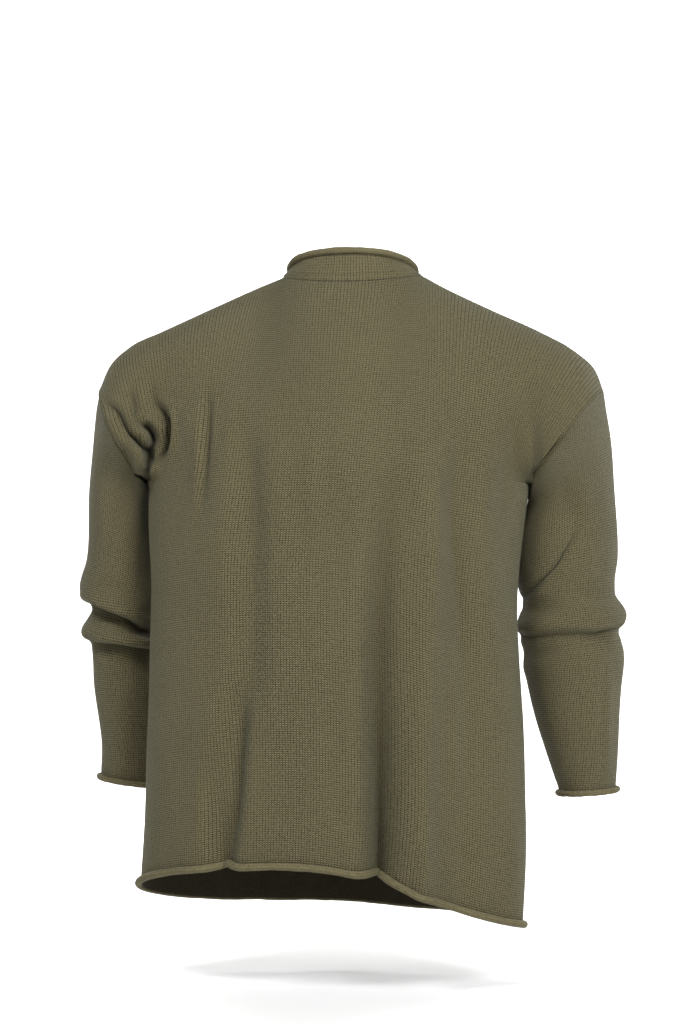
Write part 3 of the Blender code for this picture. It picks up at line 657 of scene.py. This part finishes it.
# a closed wall: faces are worked out on the opened grid, so that each corner keeps its own map place
def wallMesh(name, outer, inner, maps, shade, tube, flip):
    rows, columns = outer.shape[:2]
    count = rows * columns
    # painted shade: inner rows and crease bottoms are darkened, the roll is not
    fromEdge = rows - cloth["rollSteps"] + cloth["shadeFrom"] - np.arange(rows)
    inShade = np.broadcast_to(ease(fromEdge / cloth["shadeBlend"])[:, None], (rows, columns))
    creased = np.concatenate([shade * yarn["dimCrease"], np.zeros((rows - len(shade), columns))])
    paintedShade = np.stack([creased, inShade])
    square = gridFaces(rows, columns)
    k = np.arange(columns - 1)
    last = (rows - 1) * columns
    parts = [
        square, square[:, ::-1] + count,
        np.stack([k + 1, k, k + count, k + 1 + count], axis=1),
        np.stack([last + k, last + k + 1, last + k + 1 + count, last + k + count], axis=1),
    ]
    if not tube:
        m = np.arange(rows - 1) * columns
        parts.append(np.stack([m, m + columns, m + columns + count, m + count], axis=1))
        m = m + columns - 1
        parts.append(np.stack([m + columns, m, m + count, m + columns + count], axis=1))
    faces = np.concatenate(parts)
    inside = np.zeros(len(faces), int)
    inside[len(square):2 * len(square)] = 1
    if flip:
        faces = faces[:, ::-1]
    points = np.concatenate([outer.reshape(-1, 3), inner.reshape(-1, 3)])
    number = np.arange(2 * count)
    if tube:
        ends = np.arange(2 * rows) * columns + columns - 1
        number[ends] = ends - (columns - 1)
    keep, packed = np.unique(number, return_inverse=True)
    corners = faces.reshape(-1)
    mesh = bpy.data.meshes.new(name)
    mesh.from_pydata(points[keep].tolist(), [], packed.reshape(-1)[faces].tolist())
    mesh.polygons.foreach_set("material_index", inside)
    mesh.attributes.new("paintedShade", "FLOAT", "POINT").data.foreach_set("value", paintedShade.reshape(-1)[keep])
    for mapName, grid in maps.items():
        both = np.concatenate([grid.reshape(-1, 2)] * 2)
        mesh.uv_layers.new(name=mapName).data.foreach_set("uv", both[corners].reshape(-1))
    mesh.shade_smooth()
    mesh.set_sharp_from_angle(angle=math.radians(cloth["sharpAngle"]))
    mesh.update()
    return mesh


# the grid with its last row carried on, a step further each time
def carriedOn(grid, rows, step):
    return np.concatenate([grid, grid[-1:] + np.arange(1, rows + 1)[:, None] * step])


# knit map in metres (across the wales, along them) and seam map (distance from the seam, along it)
def knitMaps(name, plain):
    run, girth = runAlong(plain, 0), runAlong(plain, 1)
    if name in ("back", "front"):
        middle = plain.shape[1] // 2
        across = np.broadcast_to(shares[None] * body["halfCloth"], run.shape)
        along = run * (run[:, middle:middle + 1] / np.maximum(run, 1e-9)) ** 0.5
        fromSide = np.broadcast_to((1 - np.abs(shares))[None] * body["halfCloth"], run.shape)
        fromTop = run[-1:] - run
        seam, beside = np.minimum(fromSide, fromTop), np.where(fromSide < fromTop, run, girth)
        across, along, seam, beside = across[::-1], along[::-1], seam[::-1], beside[::-1]
    else:
        across = girth - girth[:, -1:] / 2
        if name == "collar":
            across = np.broadcast_to(np.linspace(0, collar["mapGirth"], plain.shape[1])[None], run.shape)
        along = np.broadcast_to(run.mean(axis=1)[:, None], run.shape)
        seam, beside = run, np.broadcast_to(girth[:1], run.shape)
    rows = cloth["rollSteps"]
    step = cloth["hemRoll"] * math.radians(cloth["rollTurn"]) / rows * cloth["mapStretch"]
    along = carriedOn(along, rows, -step if name in ("back", "front") else step)
    across, seam, beside = (carriedOn(g, rows, 0) for g in (across, seam, beside))
    join = np.stack([np.clip(seam, 0, cloth["mapSeam"]), beside], axis=2)
    return {"knit": np.stack([across, along], axis=2), "seam": join}


# a sleeve's opened grid starts at the underarm, where its own seam is
def openAtUnderarm(grid):
    half = (grid.shape[1] - 1) // 2
    loop = np.roll(grid[:, :-1], -half, axis=1)
    return np.concatenate([loop, loop[:, :1]], axis=1)


# the yarn's colours, how dark the painted shade inside and in creases is, and the size of its stitches in
# metres
yarn = dict(
    light=(0.190, 0.165, 0.090, 1), dark=(0.009, 0.0075, 0.0025, 1), heather=(0.100, 0.092, 0.057, 1),
    dimInside=0.77, dimCrease=0.75, wale=0.0031, course=0.0024, wander=0.0007, jitter=0.0004,
    bump=0.0012, bumpStrength=0.85,
)
knitFinish = {
    "Roughness": 0.95, "Specular IOR Level": 0.15,
    "Sheen Weight": 0.11, "Sheen Roughness": 0.28, "Sheen Tint": (0.80, 0.90, 0.76, 1),
}
# between: how far the cloth falls between wales; leg: how much a leg is rounded; slant: of the legs
stitch = dict(between=0.70, leg=0.32, slant=1.1, purlRow=3.4, purlBead=1.6, middle=0.62)
# widths of the groove on the seam, of the link loops beside it and of the collar's second line
seamLine = dict(
    groove=0.0011, linkAt=0.0026, linkHalf=0.0012, linkEach=0.0031, secondAt=0.0080, secondHalf=0.0010,
)
# scale, detail and roughness of each noise over the knit map, and how much each part counts in the tone
noises = dict(
    wander=(42.0, 3.0, 0.5), jitter=(330.0, 2.0, 0.5), fuzz=(1500.0, 3.0, 0.7),
    cloud=(9.0, 4.0, 0.5), streak=(1.0, 1.0, 0.5),
)
streakScale = (330.0, 40.0, 0.0)
toneOf = dict(height=1.15, base=0.10, streak=0.08, fuzz=1.1, jitter=0.5, cloud=0.12, line=0.45)
fleckOf = dict(gain=1.6, start=0.35)
reliefOf = dict(link=0.5, line=0.9, fuzz=0.35, second=0.5, linkFall=2.4)
# contrast: how strong the stitches are; courses: how deep the rows cut; tint and shade: scale of the light
# yarn, on the collar a painted shade
knits = dict(
    knit_face=dict(reverse=False, contrast=0.92, courses=4.0, tintAndShade=1.03, secondLine=False),
    knit_collar=dict(reverse=False, contrast=0.98, courses=1.6, tintAndShade=0.80, secondLine=True),
    knit_reverse=dict(reverse=True, contrast=0.22, courses=0.0, tintAndShade=1.00, secondLine=False),
)


# wraps a socket so that sums on values read as sums
class Value:
    def __init__(self, tree, socket=None):
        self.tree, self.socket = tree, socket

    # any node: its type, its settings first, then its sockets' values or links
    def add(self, kind, settings=None, inputs=None):
        node = self.tree.nodes.new(kind)
        for key, value in (settings or {}).items():
            setattr(node, key, value)
        for key, value in (inputs or {}).items():
            if isinstance(value, Value):
                self.tree.links.new(value.socket, node.inputs[key])
            else:
                node.inputs[key].default_value = value
        return Value(self.tree, node.outputs[0])

    def output(self, key):
        return Value(self.tree, self.socket.node.outputs[key])

    def math(self, operation, *items):
        return self.add("ShaderNodeMath", {"operation": operation}, dict(enumerate(items)))

    # from the first colour at 0 to the second at 1
    def mixed(self, first, second):
        node = self.add("ShaderNodeMix", {"data_type": "RGBA"}, {0: self, 6: first, 7: second})
        return node.output(2)

    def noise(self, name):
        scale, detail, roughness = noises[name]
        inputs = {"Vector": self, "Scale": scale, "Detail": detail, "Roughness": roughness}
        return self.add("ShaderNodeTexNoise", {"noise_dimensions": "2D"}, inputs)

    def __add__(self, other):
        return self.math("ADD", self, other)

    __radd__ = __add__

    def __sub__(self, other):
        return self.math("SUBTRACT", self, other)

    def __rsub__(self, other):
        return self.math("SUBTRACT", other, self)

    def __mul__(self, other):
        return self.math("MULTIPLY", self, other)

    __rmul__ = __mul__

    def __truediv__(self, other):
        return self.math("DIVIDE", self, other)

    def __pow__(self, other):
        return self.math("POWER", self, other)

    def __abs__(self):
        return self.math("ABSOLUTE", self)

    def fract(self):
        return self.math("FRACT", self)

    def clip(self):
        return self.math("MINIMUM", self.math("MAXIMUM", self, 0.0), 1.0)


# Plain knit: each wale is two slanted legs side by side. Height is the fall between wales times the leg's
# roundness times the loop's. The reverse shows rows of low beads, each row shifted half a stitch.
def knitHeight(across, down, kind):
    if kind["reverse"]:
        row = down.fract() - 0.5
        offset = (down - down.fract()) * 0.5
        bead = (across * 2.0 + offset).fract() - 0.5
        height = (1 - (row * row * stitch["purlRow"] + bead * bead * stitch["purlBead"])).clip()
    else:
        side = abs(across.fract() - 0.5)
        leg = (side - 0.25) * 4.0
        loop = (down + side * stitch["slant"]).fract() - 0.5
        between = 1 - (side * 2.0) ** 4.0 * stitch["between"]
        rounded = (1 - stitch["leg"]) + (1 - leg * leg).clip() * stitch["leg"]
        height = between * rounded * (1 - loop * loop * kind["courses"]).clip()
    return height * kind["contrast"] + (1 - kind["contrast"]) * stitch["middle"]


# tone is the stitch's height with streaks, fuzz, jitter and broad clouds added and the seam's lines taken off
def knitMaterial(name, kind):
    material = bpy.data.materials.new(name)
    material.use_nodes = True
    tree = material.node_tree
    shader = tree.nodes["Principled BSDF"]
    start = Value(tree)
    place = start.add("ShaderNodeUVMap", {"uv_map": "knit"})
    u = start.add("ShaderNodeSeparateXYZ", None, {0: place})
    v = u.output(1)
    drifted, jittered = place.noise("wander") - 0.5, place.noise("jitter") - 0.5
    across = (u + drifted * yarn["wander"] + jittered * yarn["jitter"]) / yarn["wale"]
    down = (v + jittered * yarn["jitter"]) / yarn["course"]
    height = knitHeight(across, down, kind)
    fromSeam = start.add("ShaderNodeSeparateXYZ", None, {0: start.add("ShaderNodeUVMap", {"uv_map": "seam"})})
    alongSeam = fromSeam.output(1)
    lines = (1 - fromSeam / seamLine["groove"]).clip()
    if kind["secondLine"]:
        second = (1 - abs(fromSeam - seamLine["secondAt"]) / seamLine["secondHalf"]).clip()
        lines = lines + second * reliefOf["second"]
    band = (1 - abs(fromSeam - seamLine["linkAt"]) / seamLine["linkHalf"]).clip()
    link = band * (1 - abs((alongSeam / seamLine["linkEach"]).fract() - 0.5) * reliefOf["linkFall"]).clip()
    fuzzy, clouded = place.noise("fuzz"), place.noise("cloud") - 0.5
    stretch = start.add("ShaderNodeVectorMath", {"operation": "MULTIPLY"}, {0: place, 1: streakScale})
    streaked = stretch.noise("streak") - 0.5
    relief = height + link * reliefOf["link"] - lines * reliefOf["line"] + fuzzy * reliefOf["fuzz"]
    shade = height * toneOf["height"] - toneOf["base"] + streaked * toneOf["streak"]
    shade = shade + (fuzzy - 0.5) * toneOf["fuzz"] + jittered * toneOf["jitter"]
    shade = (shade + clouded * toneOf["cloud"] - lines * toneOf["line"]).clip()
    # the light yarn is scaled per knit; the collar's darker scale is painted shade
    tone = shade.mixed(yarn["dark"], tuple(c * kind["tintAndShade"] for c in yarn["light"][:3]) + (1,))
    fleck = ((jittered + 0.5) * (fuzzy * fleckOf["gain"]) - fleckOf["start"]).clip()
    colour = fleck.mixed(tone, yarn["heather"])
    # painted shade: the colour is darkened towards black inside, at crease bottoms and beside the sleeve
    # seams
    paintedShade = start.add("ShaderNodeAttribute", {"attribute_name": "paintedShade"}).output("Fac")
    dimmed = (paintedShade * yarn["dimInside"]).mixed(colour, (0, 0, 0, 1))
    bumps = {"Strength": yarn["bumpStrength"], "Distance": yarn["bump"], "Height": relief}
    tree.links.new(dimmed.socket, shader.inputs["Base Color"])
    tree.links.new(start.add("ShaderNodeBump", None, bumps).socket, shader.inputs["Normal"])
    for key, value in knitFinish.items():
        shader.inputs[key].default_value = value
    return material


materials = {name: knitMaterial(name, kind) for name, kind in knits.items()}
print("knit ready")

# flat is each piece's width and length as cut, measured along the shaped cloth
cuts = dict(
    back=dict(node="back_panel", slot="back_knit", flat=(0.63, 0.74), roll=cloth["hemRoll"]),
    front=dict(node="front_panel", slot="front_knit", flat=(0.56, 0.76), roll=cloth["hemRoll"]),
    sleeve_left=dict(node="sleeve_left", slot="sleeve_left_knit", flat=(0.46, 0.49), roll=cloth["cuffRoll"]),
    sleeve_right=dict(
        node="sleeve_right", slot="sleeve_right_knit", flat=(0.46, 0.49), roll=cloth["cuffRoll"],
    ),
    collar=dict(node="collar", slot="collar_knit", flat=(0.54, 0.05), roll=cloth["collarRoll"]),
)


for index, (name, skin) in enumerate(skins.items()):
    cut = cuts[name]
    tube = name not in ("back", "front")
    grid, normal, plain, shade = skin, normals[name], plainSkins.get(name, skin), paintedShades[name]
    if name.startswith("sleeve"):
        grid, normal, plain, shade = (openAtUnderarm(g) for g in (grid, normal, plain, shade))
    if not tube:  # rows run down to the free edge
        grid, normal, shade = grid[::-1], normal[::-1], shade[::-1]
    outer, inner = rolled(grid, normal, cut["roll"], cloth["seed"] + cloth["seedStep"] * index)
    flip = turned[name] == tube
    drawBack(outer, inner, tube, flip)
    mesh = wallMesh(name + "_cloth", outer, inner, knitMaps(name, plain), shade, tube, flip)
    piece = bpy.data.objects.new(name + "_cloth", mesh)
    scene.collection.objects.link(piece)
    piece.data.materials.append(materials["knit_collar" if name == "collar" else "knit_face"])
    piece.data.materials.append(materials["knit_reverse"])
    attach(piece, "root")
    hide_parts(cut["node"])


# a level floor that curves up into a wall; flatTo and curveTo are shares of its rows
paper = dict(
    level=-0.79, near=2.5, flat=6.3, radius=1.4, wall=4.0, halfWidth=7.0, rows=40, columns=9,
    flatTo=0.55, curveTo=0.80, colour=0.90, roughness=0.9,
)
run = np.linspace(0, 1, paper["rows"])
arc = np.clip((run - paper["flatTo"]) / (paper["curveTo"] - paper["flatTo"]), 0, 1) * np.pi / 2
onFlat = run < paper["flatTo"]
reach = np.where(onFlat, run / paper["flatTo"] * paper["flat"], paper["flat"] + paper["radius"] * np.sin(arc))
lift = np.where(onFlat, 0, paper["radius"] * (1 - np.cos(arc)))
lift = lift + np.maximum(run - paper["curveTo"], 0) / (1 - paper["curveTo"]) * paper["wall"]
across = np.linspace(-paper["halfWidth"], paper["halfWidth"], paper["columns"])[None]
rows = across, (paper["near"] - reach)[:, None], (paper["level"] + lift)[:, None]
floorPoints = np.stack(np.broadcast_arrays(*rows), axis=2).reshape(-1, 3)
floorMesh = bpy.data.meshes.new("floor")
floorMesh.from_pydata(floorPoints.tolist(), [], gridFaces(paper["rows"], paper["columns"])[:, ::-1].tolist())
floorMesh.shade_smooth()
floor = bpy.data.objects.new("floor", floorMesh)
scene.collection.objects.link(floor)
paperLook = bpy.data.materials.new("paper")
paperLook.use_nodes = True
paperInputs = paperLook.node_tree.nodes["Principled BSDF"].inputs
paperInputs["Base Color"].default_value = (paper["colour"],) * 3 + (1,)
paperInputs["Roughness"].default_value = paper["roughness"]
floor.data.materials.append(paperLook)

# The camera's centre is the pixel of the origin's upright in a frame of frameSize; distance is to it.
studio = dict(
    distance=3.1, azimuth=7.0, height=-0.3505, focal=2768, centre=(353, 585), frameSize=(683, 1024),
    sensor=36, world=0.10, towards=(0, 0, -0.35),
    lamps=dict(
        key=dict(place=(-1.6, 2.5, 1.1), size=(1.2, 1.2), power=102.0),
        fill=dict(place=(1.1, 2.4, 2.3), size=(1.0, 1.0), power=88.0),
        rimLeft=dict(place=(1.5, -1.9, 0.2), size=(0.6, 1.6), power=30.0),
        rimRight=dict(place=(-1.5, -1.9, 0.2), size=(0.6, 1.6), power=30.0),
        backdrop=dict(place=(0, -1.4, 2.1), size=(3.0, 1.0), power=330.0, towards=(0, -4.6, 0.3)),
    ),
)
world = bpy.data.worlds.new("studio")
scene.world = world
world.use_nodes = True
world.node_tree.nodes["Background"].inputs[0].default_value = (1, 1, 1, 1)
world.node_tree.nodes["Background"].inputs[1].default_value = studio["world"]

for name, lampOf in studio["lamps"].items():
    lamp = bpy.data.lights.new(name, "AREA")
    lamp.shape, lamp.energy = "RECTANGLE", lampOf["power"]
    lamp.size, lamp.size_y = lampOf["size"]
    light = bpy.data.objects.new(name, lamp)
    light.location = lampOf["place"]
    light.visible_camera = False
    aim = Vector(lampOf.get("towards", studio["towards"])) - Vector(lampOf["place"])
    light.rotation_euler = aim.to_track_quat("-Z", "Y").to_euler()
    scene.collection.objects.link(light)

turn = math.radians(studio["azimuth"])
forward = Vector((math.sin(turn), -math.cos(turn), 0))
right = Vector((-math.cos(turn), -math.sin(turn), 0))
lookX = (studio["frameSize"][0] / 2 - studio["centre"][0]) / studio["focal"]
lookZ = (studio["centre"][1] - studio["frameSize"][1] / 2) / studio["focal"]
look = forward + right * lookX + Vector((0, 0, lookZ))
cameraData = bpy.data.cameras.new("camera")
cameraData.sensor_width = studio["sensor"]
cameraData.lens = studio["focal"] / studio["frameSize"][1] * studio["sensor"]
camera = bpy.data.objects.new("camera", cameraData)
camera.location = Vector((0, 0, studio["height"])) - forward * studio["distance"]
camera.rotation_euler = look.to_track_quat("-Z", "Y").to_euler()
scene.collection.objects.link(camera)
scene.camera = camera
scene.view_settings.view_transform = "Standard"
print("studio set")
